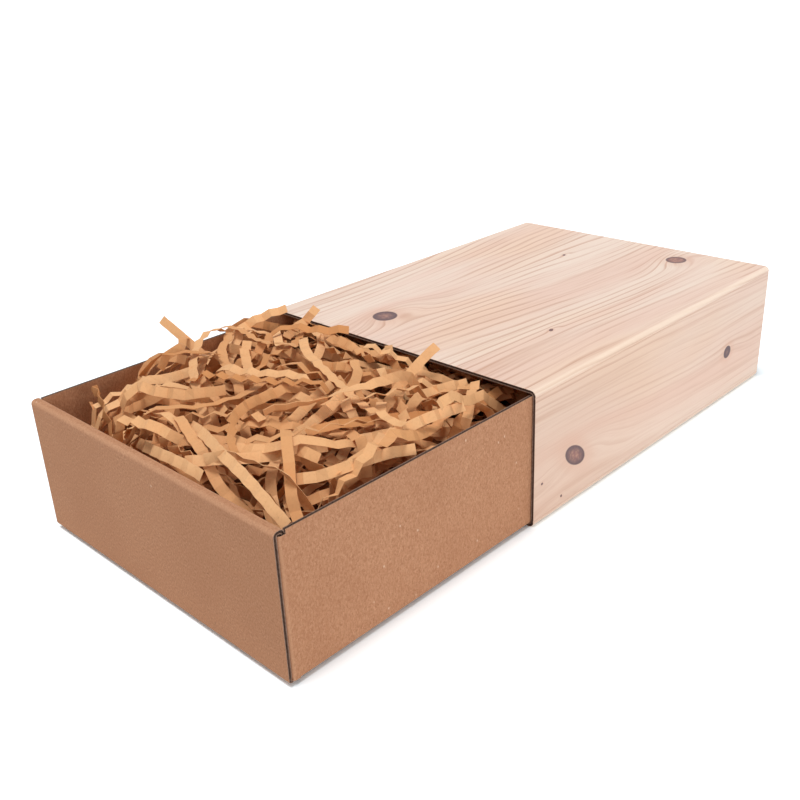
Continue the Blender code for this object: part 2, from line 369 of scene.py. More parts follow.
@dataclass(frozen=True)
class PinePrint:
    """Matt print of pale pine boards, their grain along the sleeve."""

    cream: Colour = (0.86, 0.70, 0.59)
    pink: Colour = (0.81, 0.58, 0.475)
    straw: Colour = (0.86, 0.62, 0.45)
    line: Colour = (0.55, 0.28, 0.17)
    # painted shade: a darker, warmer tint laid over the print on the side panels, stronger near the mouth,
    # for the light that falls there
    painted_side_shade: Colour = (0.70, 0.45, 0.32)
    knot_rim: Colour = (0.075, 0.030, 0.038)
    knot_heart: Colour = (0.25, 0.10, 0.085)
    knot_eye: Colour = (0.46, 0.23, 0.16)
    halo: Colour = (0.66, 0.34, 0.22)
    # paler along the creases: partly worn paper, partly a painted highlight
    rubbed_and_highlight: Colour = (0.93, 0.80, 0.65)
    ring_spacing: float = 0.0052
    ring_pale: float = 0.6
    wanders: tuple[tuple[Triple, float, float], ...] = (
        ((11.0, 2.6, 1.0), 1.0, 0.055),
        ((55.0, 11.0, 1.0), 2.0, 0.006),
    )
    patch_scale: Triple = (30.0, 9.0, 1.0)
    streak_scale: Triple = (230.0, 5.0, 1.0)
    thread_scale: Triple = (820.0, 11.0, 1.0)
    band_scale: Triple = (34.0, 2.2, 1.0)
    blush_scale: Triple = (9.0, 4.0, 1.0)
    fibre_scale: Triple = (1500.0, 55.0, 1.0)
    heart_scale: float = 520.0
    knot_edge: Point2 = (1.04, 0.92)
    halo_edge: Point2 = (2.6, 1.0)
    halo_share: float = 0.28
    heart_edge: Point2 = (0.35, 0.7)
    top_edge: Point2 = (0.085, 0.100)
    side_rings: float = 0.35
    side_shade_share: float = 0.20
    mouth_shade_ramp: Levels = (0.020, -0.105, 0.0, 0.38)
    ring_patches: Levels = (0.38, 0.60, 0.06, 0.75)
    thread_patches: Levels = (0.62, 0.36, 0.05, 0.30)
    straw_levels: Levels = (0.45, 0.75, 0.0, 0.6)
    streak_levels: Levels = (0.50, 0.74, 0.0, 0.42)
    thread_edge: Point2 = (0.50, 0.68)
    fibre_levels: Levels = (0.35, 0.8, 0.0, 0.10)
    band_edge: Point2 = (0.36, 0.64)
    pin_specks: Triple = (42.0, 0.12, 0.030)
    pin_share: float = 0.7
    rubbed_and_highlight_levels: Levels = (0.0, 0.9, 0.0, 0.45)
    scored_shade_levels: Levels = (-0.3, -1.0, 0.0, 0.30)
    fibre_relief: float = 0.00002
    roughness: Point2 = (0.42, 0.52)
    knots: tuple[Knot, ...] = (
        Knot(-0.0310, -0.0825, 0.0066, 0.0072, 0.6, 0.45, 0.021),
        Knot(0.0390, 0.0919, 0.0060, 0.0066, 0.3, 0.15, 0.012),
        Knot(0.1297, -0.0794, 0.0048, 0.0090, -0.55, 0.30, 0.007),
        Knot(0.1252, 0.0681, 0.0037, 0.0040, 0.0, 0.95, 0.003),
        Knot(0.0491, -0.0468, 0.0010, 0.0018, 0.4, 0.60, 0.003),
        Knot(-0.0199, 0.0620, 0.0009, 0.0016, 0.4, 0.80, 0.002),
        Knot(0.1339, -0.1050, 0.0006, 0.0008, 0.0, 0.80, 0.001),
        Knot(0.1470, -0.0897, 0.0007, 0.0007, 0.0, 0.80, 0.001),
        Knot(-0.1215, 0.0350, 0.0062, 0.0078, 0.3, 0.30, 0.012),
        Knot(-0.1350, -0.0620, 0.0032, 0.0036, 0.0, 0.85, 0.005),
        Knot(0.2050, 0.0210, 0.0070, 0.0082, 0.5, 0.25, 0.013),
        Knot(0.2780, -0.0560, 0.0058, 0.0066, 0.2, 0.40, 0.010),
    )

    def material(self) -> bpy.types.Material:
        """Build the print's material."""
        sketch = MaterialSketch("pine_print")
        place = sketch.uv_place(PRINT_MAP)
        across, along, _ = sketch.add("ShaderNodeSeparateXYZ", {0: place}).outputs
        grain = across
        for scale, detail, reach in self.wanders:
            cloud = sketch.noise(sketch.scaled(place, scale), 1.0, detail)
            grain = self.shifted(sketch, grain, cloud, reach)
        hearts, rims, halos = [], [], []
        for knot in self.knots:
            size = (knot.wide, knot.tall, 1)
            far = sketch.length(sketch.local(place, (knot.across, knot.along, 0), size, knot.turn))
            grain = self.shifted(sketch, grain, self.swing(sketch, place, knot), knot.swirl)
            hearts.append(sketch.step(far, *self.knot_edge))
            rim = sketch.step(far, 0.75 - 2.2 * knot.dark, 1.05)
            rims.append(sketch.maths("MULTIPLY", rim, hearts[-1]))
            halos.append(sketch.step(far, *self.halo_edge))
        flow = sketch.add("ShaderNodeCombineXYZ", {"X": grain, "Y": along}).outputs["Vector"]
        rings = self.ring_lines(sketch, grain, self.ring_spacing, self.ring_pale)
        patches = sketch.noise(sketch.scaled(place, self.patch_scale), 1.0, 3.0)
        streaks = sketch.noise(sketch.scaled(flow, self.streak_scale), 1.0, 3.0, 0.6)
        threads = sketch.noise(sketch.scaled(flow, self.thread_scale), 1.0, 3.0, 0.65)
        bands = sketch.noise(sketch.scaled(flow, self.band_scale), 1.0, 2.0)
        blush = sketch.noise(sketch.scaled(place, self.blush_scale), 1.7, 2.0)
        fibre = sketch.noise(sketch.scaled(place, self.fibre_scale), 1.0, 2.0)
        on_side = sketch.step(across, *self.top_edge)
        on_top = sketch.step(across, *reversed(self.top_edge), self.side_rings, 1.0)
        near_mouth = sketch.step(along, *self.mouth_shade_ramp)
        ring_share = sketch.maths("MULTIPLY", rings, sketch.step(patches, *self.ring_patches))
        thread_share = sketch.step(patches, *self.thread_patches)
        layers = [
            (sketch.step(blush, *self.straw_levels), self.straw),
            # painted shade on the side panels, and more of it near the mouth
            (sketch.maths("MULTIPLY", on_side, self.side_shade_share), self.painted_side_shade),
            (sketch.maths("MULTIPLY", on_side, near_mouth), self.painted_side_shade),
            (sketch.step(streaks, *self.streak_levels), self.line),
            (sketch.maths("MULTIPLY", ring_share, on_top), self.line),
            (sketch.maths("MULTIPLY", sketch.step(threads, *self.thread_edge), thread_share), self.line),
            (sketch.step(fibre, *self.fibre_levels), self.line),
        ]
        layers += [(sketch.maths("MULTIPLY", halo, self.halo_share), self.halo) for halo in halos]
        mottle = sketch.step(sketch.noise(place, self.heart_scale, 3.0), *self.heart_edge)
        inner = sketch.mix(mottle, self.knot_heart, self.knot_eye)
        layers += [(heart, sketch.mix(rim, inner, self.knot_rim)) for heart, rim in zip(hearts, rims)]
        pins = sketch.specks(sketch.scaled(place, (1.0, 0.6, 1.0)), *self.pin_specks)
        wear_and_shading = sketch.attribute(WEAR_AND_SHADING)
        layers += [
            (sketch.maths("MULTIPLY", pins, self.pin_share), self.knot_rim),
            # paler along the creases: partly worn paper, partly a painted highlight
            (sketch.step(wear_and_shading, *self.rubbed_and_highlight_levels), self.rubbed_and_highlight),
            # painted shade: the print darkened along the score groove
            (sketch.step(wear_and_shading, *self.scored_shade_levels), self.line),
        ]
        colour = sketch.mix(sketch.step(bands, *self.band_edge), self.cream, self.pink)
        colour = sketch.layered(colour, layers)
        relief = sketch.bump(fibre, self.fibre_relief)
        return sketch.finish(colour, sketch.step(patches, 0.2, 0.8, *self.roughness), relief)

    @staticmethod
    def shifted(sketch: NodeSketch, grain: Socket, amount: Socket, reach: float) -> Socket:
        """The place across the grain, moved by a share of that reach."""
        moved = sketch.maths("MULTIPLY_ADD", amount, reach)
        sketch.feed(moved.node.inputs[2], grain)
        return moved

    @staticmethod
    def swing(sketch: NodeSketch, place: Socket, knot: Knot) -> Socket:
        """How far the grain swings round a knot: 1 at the knot, and less with distance."""
        centre = (knot.across, knot.along + knot.tall * 1.2, 0)
        round_it = sketch.length(sketch.local(place, centre, (knot.wide * 1.9, knot.tall * 3.2, 1), 0))
        fall = sketch.maths("MULTIPLY", sketch.maths("POWER", round_it, 2.0), -1.0)
        return sketch.maths("POWER", math.e, fall)

    @staticmethod
    def ring_lines(sketch: NodeSketch, grain: Socket, spacing: float, pale: float) -> Socket:
        """Lines of late wood: each darkens slowly after a pale share of its ring, then stops short.

        Args:
            sketch: The material being built.
            grain: The place across the grain, in metres.
            spacing: The distance between lines.
            pale: The share of a ring that stays pale.

        Returns:
            The strength of the line, from 0 to 1.
        """
        ring = sketch.maths("FRACT", sketch.maths("DIVIDE", grain, spacing))
        rise = sketch.step(ring, pale, 0.93)
        fall = sketch.step(ring, 1.0, 0.94)
        return sketch.maths("MULTIPLY", rise, fall)


@dataclass(frozen=True)
class KraftLiner:
    """Brown kraft liner, mottled and specked with fibre."""

    name: str = "kraft_liner"
    middle: Colour = (0.500, 0.243, 0.130)
    deep: Colour = (0.385, 0.170, 0.084)
    pale: Colour = (0.620, 0.335, 0.195)
    fleck: Colour = (0.82, 0.62, 0.46)
    dirt: Colour = (0.16, 0.070, 0.036)
    # paler along the creases: partly worn paper, partly a painted highlight
    rubbed_and_highlight: Colour = (0.64, 0.36, 0.215)
    fibre_scale: float = 1500.0
    felt_scale: float = 420.0
    cloud_scale: float = 22.0
    fleck_specks: Triple = (210.0, 0.05, 0.10)
    fleck_share: float = 0.7
    dirt_specks: Triple = (170.0, 0.06, 0.08)
    dirt_share: float = 0.6
    felt_levels: Levels = (0.35, 0.65, 0.1, 0.6)
    cloud_levels: Levels = (0.35, 0.7, 0.0, 0.22)
    rubbed_and_highlight_levels: Levels = (0.0, 1.0, 0.0, 0.35)
    fibre_edge: Point2 = (0.34, 0.66)
    fibre_relief: float = 0.00004
    cloud_relief: float = 0.0004
    roughness: Point2 = (0.78, 0.9)
    sheen: float = 0.25

    def material(self) -> bpy.types.Material:
        """Build the liner's material."""
        sketch = MaterialSketch(self.name)
        place = sketch.object_place()
        drawn = sketch.scaled(place, (1.0, 1.0, 0.6))
        fibre = sketch.noise(drawn, self.fibre_scale, 3.0, 0.75)
        felt = sketch.noise(place, self.felt_scale, 3.0, 0.6)
        cloud = sketch.noise(place, self.cloud_scale, 2.0)
        flecks = sketch.specks(drawn, *self.fleck_specks)
        specks = sketch.specks(place, *self.dirt_specks)
        layers = [
            (sketch.step(felt, *self.felt_levels), self.middle),
            (sketch.step(cloud, *self.cloud_levels), self.deep),
            (sketch.maths("MULTIPLY", flecks, self.fleck_share), self.fleck),
            (sketch.maths("MULTIPLY", specks, self.dirt_share), self.dirt),
            # paler along the creases: partly worn paper, partly a painted highlight
            (sketch.step(sketch.attribute(WEAR_AND_SHADING), *self.rubbed_and_highlight_levels), self.rubbed_and_highlight),
        ]
        base = sketch.mix(sketch.step(fibre, *self.fibre_edge), self.deep, self.pale)
        colour = sketch.layered(base, layers)
        relief = sketch.bump(fibre, self.fibre_relief, sketch.bump(cloud, self.cloud_relief))
        return sketch.finish(colour, sketch.step(fibre, 0.2, 0.8, *self.roughness), relief, self.sheen)


@dataclass(frozen=True)
class CutPaper:
    """The cut edge of a liner, browner and duller than its face."""

    name: str = "cut_liner"
    tone: Colour = (0.34, 0.215, 0.155)
    shade: Colour = (0.20, 0.115, 0.08)
    torn_noise: Triple = (900.0, 3.0, 0.7)
    torn_edge: Point2 = (0.35, 0.7)
    roughness: float = 0.85
    relief: float = 0.00005

    def material(self) -> bpy.types.Material:
        """Build the cut edge's material."""
        sketch = MaterialSketch(self.name)
        torn = sketch.noise(sketch.object_place(), *self.torn_noise)
        colour = sketch.mix(sketch.step(torn, *self.torn_edge), self.tone, self.shade)
        return sketch.finish(colour, self.roughness, sketch.bump(torn, self.relief))


@dataclass(frozen=True)
class FlutingMedium:
    """The dark recycled paper of the flutes."""

    name: str = "fluting_medium"
    tone: Colour = (0.15, 0.085, 0.06)
    shade: Colour = (0.08, 0.045, 0.035)
    pulp_noise: Triple = (600.0, 3.0, 0.6)
    roughness: float = 0.9
    relief: float = 0.00005

    def material(self) -> bpy.types.Material:
        """Build the medium's material."""
        sketch = MaterialSketch(self.name)
        pulp = sketch.noise(sketch.object_place(), *self.pulp_noise)
        colour = sketch.mix(pulp, self.tone, self.shade)
        return sketch.finish(colour, self.roughness, sketch.bump(pulp, self.relief))


@dataclass(frozen=True)
class ShredPaper:
    """Thin kraft paper of the crinkled strips, each strip of its own tint."""

    name: str = "crinkled_paper"
    pale: Colour = (0.88, 0.51, 0.25)
    deep: Colour = (0.62, 0.27, 0.095)
    fibre_tone: Colour = (0.50, 0.22, 0.08)
    fibre_noise: Triple = (900.0, 3.0, 0.65)
    fibre_levels: Levels = (0.45, 0.85, 0.0, 0.3)
    roughness: float = 0.68
    relief: float = 0.00003
    sheen: float = 0.3

    def material(self) -> bpy.types.Material:
        """Build the strips' material."""
        sketch = MaterialSketch(self.name)
        fibre = sketch.noise(sketch.object_place(), *self.fibre_noise)
        colour = sketch.mix(sketch.attribute(TINT), self.deep, self.pale)
        colour = sketch.mix(sketch.step(fibre, *self.fibre_levels), colour, self.fibre_tone)
        return sketch.finish(colour, self.roughness, sketch.bump(fibre, self.relief), self.sheen)


# painted shade: the pressed bed under the loose strips takes a near-black brown for the shade deep in the
# heap
PACKED_PAPER_PAINTED_SHADE = ShredPaper("packed_paper", deep=(0.26, 0.09, 0.03), fibre_tone=(0.16, 0.05, 0.018))


@dataclass
class Finishes:
    """Every material of the box."""

    pine: bpy.types.Material
    kraft: bpy.types.Material
    cut: bpy.types.Material
    medium: bpy.types.Material
    shred: bpy.types.Material
    # the bed's material, darkened as painted shade
    packed: bpy.types.Material

    @classmethod
    def build(cls) -> Finishes:
        """Build them all."""
        return cls(
            pine=PinePrint().material(),
            kraft=KraftLiner().material(),
            cut=CutPaper().material(),
            medium=FlutingMedium().material(),
            shred=ShredPaper().material(),
            packed=PACKED_PAPER_PAINTED_SHADE.material(),
        )


def settle(
    name: str, builder: bmesh.types.BMesh, materials: Sequence[bpy.types.Material], body: Body
) -> bpy.types.Object:
    """Turn a bmesh into a piece that rides on a body.

    Args:
        name: The piece's name.
        builder: The mesh, which is freed.
        materials: Its materials, in the order of its faces' numbers.
        body: What it rides on.

    Returns:
        The piece.
    """
    for edge in builder.edges:
        edge.smooth = not edge.is_boundary
    mesh = bpy.data.meshes.new(name)
    builder.to_mesh(mesh)
    builder.free()
    mesh.shade_smooth()
    for material in materials:
        mesh.materials.append(material)
    obj = bpy.data.objects.new(name, mesh)
    bpy.context.scene.collection.objects.link(obj)
    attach(obj, body.value)
    return obj


def thicken(obj: bpy.types.Object, thickness: float, offset: float = -1.0, back: int = 1) -> None:
    """Give a sheet its thickness.

    Args:
        obj: The sheet.
        thickness: Its thickness, in metres.
        offset: -1 behind its faces, 0 on both sides of them.
        back: How many materials further on its back and its edges take theirs.
    """
    solid = obj.modifiers.new("paper", "SOLIDIFY")
    solid.thickness = thickness
    solid.offset = offset
    solid.use_even_offset = offset != 0
    solid.material_offset = back
    solid.material_offset_rim = back


@dataclass
class Section:
    """A board's outer face in section, walked with the outside on the right.

    Attributes:
        board: The thickness of the board, in metres.
        points: Places across and up.
        wear_and_shading: How far the liner is stretched and worn at each point, from 0 to 1, which the
            materials lighten partly as worn paper and partly as a painted highlight on the crease; or scored,
            down to -1, which the print darkens as painted shade.
        depths: The board's thickness at each point.
        dents: How far the outer face alone is pressed in at each point.
    """

    board: float = SIZES.board
    points: list[Point2] = field(default_factory=list)
    wear_and_shading: list[float] = field(default_factory=list)
    depths: list[float] = field(default_factory=list)
    dents: list[float] = field(default_factory=list)

    def to(
        self, across: float, up: float, wear_and_shading: float = 0.0, depth: float | None = None, dent: float = 0.0
    ) -> Section:
        """Draw straight to a place."""
        self.points.append((across, up))
        self.wear_and_shading.append(wear_and_shading)
        self.depths.append(self.board if depth is None else depth)
        self.dents.append(dent)
        return self

    def redrawn(self, points: list[Point2], backwards: bool = False) -> Section:
        """The same section through other points, which may be walked backwards."""
        way = slice(None, None, -1) if backwards else slice(None)
        return Section(self.board, points, self.wear_and_shading[way], self.depths[way], self.dents[way])

    def bend(
        self, centre: Point2, radius: float, quarter: int, steps: int = 6, depth: float | None = None
    ) -> Section:
        """Draw a quarter turn, counter-clockwise.

        Args:
            centre: The middle of the turn.
            radius: Its radius.
            quarter: The quarter it starts in, 0 towards the first axis.
            steps: The flats along it.
            depth: The board's thickness in it, where it is crushed.

        Returns:
            The section.
        """
        for step in range(steps + 1):
            angle = (quarter + step / steps) * math.pi / 2
            # the crease's share peaks mid-bend, where the materials lighten it, partly as worn paper and
            # partly as a painted highlight
            share = math.sin(math.pi * step / steps)
            self.to(centre[0] + radius * math.cos(angle), centre[1] + radius * math.sin(angle), share, depth)
        return self

    def mirrored(self) -> Section:
        """The same section on the other side of the second axis."""
        return self.redrawn([(-across, up) for across, up in reversed(self.points)], True)

    def flipped(self) -> Section:
        """The same section on the other side of the first axis."""
        return self.redrawn([(across, -up) for across, up in reversed(self.points)], True)

    def moved(self, across: float, up: float) -> Section:
        """The same section somewhere else."""
        return self.redrawn([(first + across, second + up) for first, second in self.points])

    def arc_lengths(self) -> list[float]:
        """How far each point is from the first, along the section."""
        total = [0.0]
        for first, second in zip(self.points, self.points[1:]):
            total.append(total[-1] + math.dist(first, second))
        return total

    def divided(self, stops: Sequence[float]) -> Section:
        """The section with a point at each stop along it."""
        lengths = self.arc_lengths()
        columns = [*zip(*self.points), self.wear_and_shading, self.depths, self.dents]
        across, up, wear_and_shading, depths, dents = (list(np.interp(stops, lengths, column)) for column in columns)
        return Section(self.board, list(zip(across, up)), wear_and_shading, depths, dents)

    def braced(self, brace: float = 0.0005) -> Section:
        """The section with a point near each end of its long straights, which keeps them flat in shading."""
        lengths = self.arc_lengths()
        stops = set(lengths)
        for first, second in zip(lengths, lengths[1:]):
            if second - first > 4 * brace:
                stops.update((first + brace, second - brace))
        return self.divided(sorted(stops))

    def inset(self, distances: Sequence[float]) -> list[Point2]:
        """The section's points moved inwards, square to it.

        Args:
            distances: How far each point moves.

        Returns:
            The moved points.
        """
        ways = []
        for first, second in zip(self.points, self.points[1:]):
            length = max(math.dist(first, second), 1e-9)
            ways.append(((second[0] - first[0]) / length, (second[1] - first[1]) / length))
        moved = []
        for number, ((across, up), distance) in enumerate(zip(self.points, distances)):
            before = ways[max(number - 1, 0)]
            after = ways[min(number, len(ways) - 1)]
            reach = distance / (1 + before[0] * after[0] + before[1] * after[1])
            moved.append((across - (before[1] + after[1]) * reach, up + (before[0] + after[0]) * reach))
        return moved


def swept_sheet(
    section: Section, rows: Sequence[Sequence[Point2]], stations: Sequence[float], sweep: Sweep, side: Side
) -> bmesh.types.BMesh:
    """A sheet through one row of section points at each station.

    Args:
        section: The board's section, for the print's place and the wear.
        rows: The sheet's points at each station.
        stations: The places along the sweep.
        sweep: The axis of the sweep.
        side: The side of the board that the sheet faces.

    Returns:
        The sheet.
    """
    builder = bmesh.new()
    columns, lines = len(rows[0]) - 1, len(stations) - 1
    bmesh.ops.create_grid(builder, x_segments=columns, y_segments=lines, size=1)
    wear_and_shading = builder.verts.layers.float.new(WEAR_AND_SHADING)
    lengths = section.arc_lengths()
    printed = {}
    for vert in builder.verts:
        column = round((vert.co.x + 1) / 2 * columns)
        line = round((vert.co.y + 1) / 2 * lines)
        vert[wear_and_shading] = section.wear_and_shading[column]
        printed[vert] = (lengths[-1] - lengths[column], stations[line])
        vert.co = sweep.place(*rows[line][column], stations[line])
    print_map = builder.loops.layers.uv.new(PRINT_MAP)
    for face in builder.faces:
        for loop in face.loops:
            loop[print_map].uv = printed[loop.vert]
    builder.normal_update()
    builder.faces.ensure_lookup_table()
    (across, up), (next_across, next_up) = rows[0][:2]
    outwards = sweep.place(next_up - up, across - next_across, 0)
    faces_out = builder.faces[0].normal.dot(outwards) > 0
    if faces_out != (side is Side.OUTER):
        bmesh.ops.reverse_faces(builder, faces=builder.faces)
    return builder


@dataclass
class CorrugatedBoard:
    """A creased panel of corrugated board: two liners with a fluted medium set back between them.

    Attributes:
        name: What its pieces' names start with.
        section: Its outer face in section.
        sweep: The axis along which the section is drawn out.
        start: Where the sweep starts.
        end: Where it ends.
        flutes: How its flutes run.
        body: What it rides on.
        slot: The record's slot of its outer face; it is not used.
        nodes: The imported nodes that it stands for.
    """

    name: str
    section: Section
    sweep: Sweep
    start: float
    end: float
    flutes: Flutes
    body: Body
    slot: Slot
    nodes: tuple[str, ...]
    liner: float = 0.00026
    medium: float = 0.00016
    pitch: float = 0.0034
    set_back: float = 0.0006
    wave_steps: int = 4

    def build(self, face: bpy.types.Material, finishes: Finishes) -> list[bpy.types.Object]:
        """Build the board's liners and medium.

        Args:
            face: The finish of the outer face.
            finishes: The box's materials.

        Returns:
            The three pieces.
        """
        outer = self.liner_piece(Side.OUTER, face, finishes.cut)
        inner = self.liner_piece(Side.INNER, finishes.kraft, finishes.cut)
        pieces = [outer, inner, self.medium_piece(finishes.medium)]
        for piece in pieces:
            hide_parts(*self.nodes)
        return pieces

    def liner_piece(self, side: Side, face: bpy.types.Material, cut: bpy.types.Material) -> bpy.types.Object:
        """One liner, finished on the side that shows and raw at its cut edges."""
        section = self.section.braced()
        row = section.inset(section.dents if side is Side.OUTER else section.depths)
        builder = swept_sheet(section, [row, row], [self.start, self.end], self.sweep, side)
        piece = settle(f"{self.name}_{side.value}_liner", builder, (face, cut), self.body)
        thicken(piece, self.liner)
        return piece

    def medium_piece(self, material: bpy.types.Material) -> bpy.types.Object:
        """The fluted paper between the liners."""
        step = self.pitch / self.wave_steps
        first, last = self.start + self.set_back, self.end - self.set_back
        lengths = self.section.arc_lengths()
        if self.flutes is Flutes.ROUND_SECTION:
            stops = [min(max(stop, self.set_back), lengths[-1] - self.set_back) for stop in lengths]
            section = self.section.divided(stops)
            count = len(section.points)
            stations = list(np.arange(first, last, step)) + [last]
            rows = [section.inset(self.wave(section, [line] * count)) for line in range(len(stations))]
        else:
            section = self.section.divided(np.arange(self.set_back, lengths[-1] - self.set_back, step))
            stations = [first, last]
            rows = [section.inset(self.wave(section, range(len(section.points))))] * 2
        builder = swept_sheet(section, rows, stations, self.sweep, Side.OUTER)
        piece = settle(f"{self.name}_medium", builder, (material,), self.body)
        thicken(piece, self.medium, 0.0, 0)
        return piece

    def wave(self, section: Section, counts: Iterable[int]) -> list[float]:
        """How deep the medium lies at each point, which is so many wave steps on."""
        depths = []
        for depth, count in zip(section.depths, counts):
            reach = max(depth / 2 - self.liner - self.medium / 2, 0.0)
            depths.append(depth / 2 + reach * math.sin((count + 0.5) * 2 * math.pi / self.wave_steps))
        return depths


@dataclass
class Sleeve:
    """The sleeve: one printed blank, wrapped round and glued to a crushed flap inside its left side."""

    score_depth: float = 0.00016
    score_width: float = 0.0010
    paste_ramp: float = 0.004

    def section(self) -> Section:
        """The wrap's outer face, from the flap's free edge to the left side's lower edge."""
        half, height, crease = SIZES.sleeve_width / 2, SIZES.sleeve_height, SIZES.sleeve_crease
        flap_x, flap_fold, thin = SIZES.glue_flap_x, SIZES.glue_flap_fold, SIZES.crushed_board
        wrap = Section().to(flap_x, SIZES.glue_flap_height, depth=thin)
        wrap.bend((flap_x + flap_fold, flap_fold), flap_fold, 2, depth=thin)
        wrap.to(flap_x + flap_fold + self.paste_ramp, 0.0)
        wrap.to(half - crease - self.score_width, 0.0)
        wrap.bend((half - crease, crease), crease, 3, 8)
        self.score(wrap, half, crease, 1)
        self.score(wrap, half, height - crease, -1)
        wrap.bend((half - crease, height - crease), crease, 0, 8)
        wrap.bend((crease - half, height - crease), crease, 1, 8)
        wrap.to(-half, height - crease - self.score_width)
        return wrap.to(-half, SIZES.gap)

    def score(self, wrap: Section, side: float, start: float, way: int) -> None:
        """The shallow score beside a crease on a side panel.

        Args:
            wrap: The section being drawn.
            side: The side panel's outer face.
            start: The height at which the crease ends.
            way: 1 above it, -1 below it.
        """
        stops = [(0.3, 1.0), (0.6, 1.0), (1.0, 0.0)]
        for share, deep in stops if way > 0 else reversed(stops):
            # a negative value here makes the print darker along the score, as painted shade
            wrap.to(side, start + way * share * self.score_width, -deep, dent=deep * self.score_depth)

    def build(self, finishes: Finishes) -> list[bpy.types.Object]:
        """Build the sleeve's pieces."""
        panels = ("top_panel", "bottom_panel", "left_panel", "right_panel", "glue_flap")
        nodes = tuple(f"sleeve_{panel}" for panel in panels)
        half_length = SIZES.sleeve_length / 2
        board = CorrugatedBoard(
            "sleeve", self.section(), Sweep.Y, -half_length, half_length,
            Flutes.ROUND_SECTION, Body.SLEEVE, Slot.PINE, nodes,
        )
        pieces = board.build(finishes.pine, finishes)
        self.centre_print(pieces[0])
        return pieces

    def centre_print(self, liner: bpy.types.Object) -> None:
        """Count the print's place across from the middle of the top."""
        section = self.section()
        lengths = section.arc_lengths()
        top = [
            length
            for length, (_, up) in zip(lengths, section.points)
            if abs(up - SIZES.sleeve_height) < SAME_PLACE
        ]
        middle = lengths[-1] - (min(top) + max(top)) / 2
        for loop in liner.data.uv_layers[PRINT_MAP].data:
            loop.uv = (loop.uv[0] - middle, loop.uv[1])


@dataclass
class Tray:
    """The tray: side walls with corner flaps, and double end walls that roll over them."""

    corner_fold: float = 0.0016
    crease: float = 0.0012
    crushed_crease: float = 0.0010

    def build(self, finishes: Finishes) -> list[bpy.types.Object]:
        """Build the tray's pieces."""
        pieces = []
        for board in [*self.side_walls(), *self.end_walls(), *self.corner_flaps()]:
            pieces += board.build(finishes.kraft, finishes)
        return pieces

    def lower_crease(self, face: float) -> Section:
        """The crushed crease from the base up into a wall.

        Args:
            face: The wall's outer face.

        Returns:
            The start of the wall's section, back at full thickness.
        """
        crease, crushed = self.crease, self.crushed_crease
        section = Section().to(face - SIZES.fold, 0.0, depth=crushed)
        section.bend((face - crease, crease), crease, 3, depth=crushed)
        return section.to(face, crease + SIZES.fold)

    def side_walls(self) -> list[CorrugatedBoard]:
        """The long walls: a lower crease and a raw upper edge."""
        half = SIZES.tray_half_width
        right = self.lower_crease(half).to(half, SIZES.tray_height - SIZES.side_wall_drop)
        reach = SIZES.inner_wall
        centre = SIZES.tray_centre
        boards = []
        for side, section in (("right", right), ("left", right.mirrored())):
            boards.append(
                CorrugatedBoard(
                    f"tray_{side}_wall", section.moved(centre.x, centre.z), Sweep.Y,
                    centre.y - reach, centre.y + reach, Flutes.ALONG_SWEEP, Body.TRAY, Slot.KRAFT,
                    (f"tray_{side}_wall",),
                )
            )
        return boards

    def end_walls(self) -> list[CorrugatedBoard]:
        """The end walls: each rises from its lower crease and rolls over the corner flaps."""
        far, inner, fold = SIZES.tray_half_length, SIZES.inner_wall, SIZES.fold
        top = SIZES.tray_height - fold
        rear = self.lower_crease(far)
        rear.bend((far - fold, top), fold, 0).bend((inner + fold, top), fold, 1).to(inner, top - SIZES.gap)
        centre = SIZES.tray_centre
        half = SIZES.tray_half_width - SIZES.end_wall_setback
        boards = []
        for end, section in (("rear", rear), ("front", rear.mirrored())):
            boards.append(
                CorrugatedBoard(
                    f"tray_{end}_wall", section.moved(centre.y, centre.z), Sweep.X,
                    centre.x - half, centre.x + half, Flutes.ROUND_SECTION, Body.TRAY, Slot.KRAFT,
                    (f"tray_{end}_outer_wall", f"tray_{end}_top_band"),
                )
            )
        return boards

    def corner_flaps(self) -> list[CorrugatedBoard]:
        """The flaps that carry the side walls' board round the corners, inside the end walls."""
        half, fold = SIZES.tray_half_width, self.corner_fold
        far = SIZES.tray_half_length - SIZES.board - SIZES.gap
        rear_right = Section().to(half, SIZES.inner_wall).bend((half - fold, far - fold), fold, 0)
        rear_right.to(half - SIZES.corner_flap_length, far)
        rear_left = rear_right.mirrored()
        sections = {
            ("rear", "right"): rear_right, ("rear", "left"): rear_left,
            ("front", "right"): rear_right.flipped(), ("front", "left"): rear_left.flipped(),
        }
        centre = SIZES.tray_centre
        low = centre.z + SIZES.gap
        high = centre.z + SIZES.tray_height - SIZES.fold - SIZES.gap
        boards = []
        for (end, side), section in sections.items():
            name = f"tray_{end}_{side}_corner_flap"
            boards.append(
                CorrugatedBoard(
                    name, section.moved(centre.x, centre.y), Sweep.Z, low, high,
                    Flutes.ROUND_SECTION, Body.TRAY, Slot.KRAFT, (name,),
                )
            )
        return boards


@dataclass
class Strip:
    """One crinkled strip as a line of fold points.

    Attributes:
        points: Places of the folds along its middle, in metres.
        roll: Its turn about its own line at each fold, in radians.
        crimp: How far each fold stands out to its side.
        tint: Its paper's tint, from 0 to 1.
    """

    points: np.ndarray
    roll: np.ndarray
    crimp: np.ndarray
    tint: float


@dataclass(frozen=True)
class Curl:
    """A strip with a place of its own on the heap.

    Attributes:
        controls: Places that it passes through, in millimetres.
        roll: Its turn about its own line, in radians.
        crimp: How far its folds stand out, in millimetres.
        twist: How far it turns over from one end to the other, in radians.
    """

    controls: tuple[Triple, ...]
    roll: float = -0.8
    crimp: float = 0.5
    twist: float = 0.0


